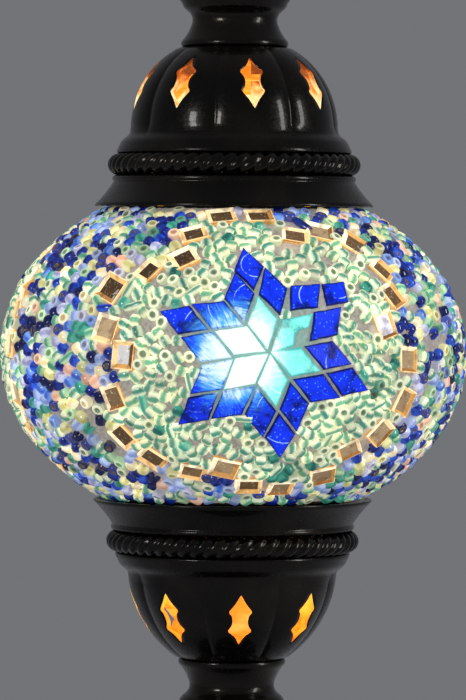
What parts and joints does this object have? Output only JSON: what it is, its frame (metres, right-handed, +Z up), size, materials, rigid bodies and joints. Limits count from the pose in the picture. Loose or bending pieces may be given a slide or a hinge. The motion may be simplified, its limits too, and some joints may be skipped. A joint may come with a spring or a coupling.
{
  "type": "mosaic glass table lamp",
  "caption": "Table lamp: a beaded mosaic glass globe with star medallions between pierced lobed metal caps, on a turned stem and bell foot.",
  "frame": {"origin": "middle of the face that the foot stands on, on the lamp's axis", "axes": "+Z up the lamp's axis; -Y is the front, towards the viewer; +X is to the viewer's right"},
  "size_m": [0.1651, 0.165, 0.4141],
  "materials": {
    "dark_metal": "dark bronze patina, lacquered to a soft gloss",
    "steel": "zinc plated",
    "ballast": "as cast",
    "brass": "bright",
    "rubber": "matt",
    "felt": "pressed felt",
    "moulding": "matt",
    "black_moulding": "moulded thermoset",
    "lead_brown": "sleeved wire",
    "lead_blue": "sleeved wire",
    "bulb_glass": "clear",
    "filament": "glowing filaments on a glass stem",
    "clear_glass": "blown",
    "plaster": "white-grey setting plaster",
    "cobalt_glass": "cut sheet glass with swirl",
    "turquoise_glass": "cut sheet glass",
    "amber_glass": "bevelled and silvered at the edges",
    "green_beads": "clear seed beads with a green lining",
    "mixed_beads": "mixed seed beads"
  },
  "bodies": {
    "base": {"felt_pad": "felt", "base_plate": "steel", "base_screws": "steel", "ballast_ring": "ballast", "foot_skirt": "dark_metal", "foot_rope_ring": "dark_metal", "foot_bell": "dark_metal", "cord_bush": "rubber", "terminal_block": "moulding", "terminal_screws": "brass", "foot_washer": "steel", "foot_nut": "steel", "threaded_rod": "steel", "foot_neck": "dark_metal", "stem_knop": "dark_metal", "lower_neck": "dark_metal", "lower_cup": "dark_metal", "lower_rope_ring": "dark_metal", "lower_collar": "dark_metal", "lower_seal": "rubber", "cup_washer": "steel", "cup_nut": "steel", "bulb_yoke": "steel", "cap_stud": "steel", "stud_nuts": "steel", "holder_body": "black_moulding", "holder_insert": "moulding", "holder_shell": "brass", "holder_contact": "brass", "lead_live": "lead_brown", "lead_neutral": "lead_blue"},
    "bulb": {"bulb_glass": "bulb_glass", "bulb_cap": "brass", "bulb_insulator": "black_moulding", "bulb_contact": "steel", "bulb_filaments": "filament"},
    "globe": {"globe_glass": "clear_glass", "plaster_coat": "plaster", "star_tiles_cobalt": "cobalt_glass", "star_tiles_turquoise": "turquoise_glass", "bevelled_chips": "amber_glass", "bead_field_medallions": "green_beads", "bead_field_ground": "mixed_beads"},
    "cap": {"upper_seal": "rubber", "upper_collar": "dark_metal", "upper_rope_ring": "dark_metal", "upper_cap": "dark_metal", "upper_neck": "dark_metal"},
    "finial_seat": {"finial_washer": "brass"},
    "finial_knob": {"finial": "dark_metal"}
  },
  "joints": [
    {"name": "bulb_lift", "type": "slide", "parent": "base", "child": "bulb", "axis": [0, 0, 1], "range_m": [0, 0.018]},
    {"name": "globe_lift", "type": "slide", "parent": "base", "child": "globe", "axis": [0, 0, 1], "range_m": [0, 0.2]},
    {"name": "cap_lift", "type": "slide", "parent": "globe", "child": "cap", "axis": [0, 0, 1], "range_m": [0, 0.1]},
    {"name": "finial_lift", "type": "slide", "parent": "cap", "child": "finial_seat", "axis": [0, 0, 1], "range_m": [0, 0.0141]},
    {"name": "finial_turn", "type": "hinge", "parent": "finial_seat", "child": "finial_knob", "pos_m": [0, 0, 0.37], "axis": [0, 0, 1], "range_deg": [0, 5040]}
  ],
  "couplings": [
    {"joint": "finial_lift", "follows": "finial_turn", "m_per_rad": 0.00015915}
  ]
}
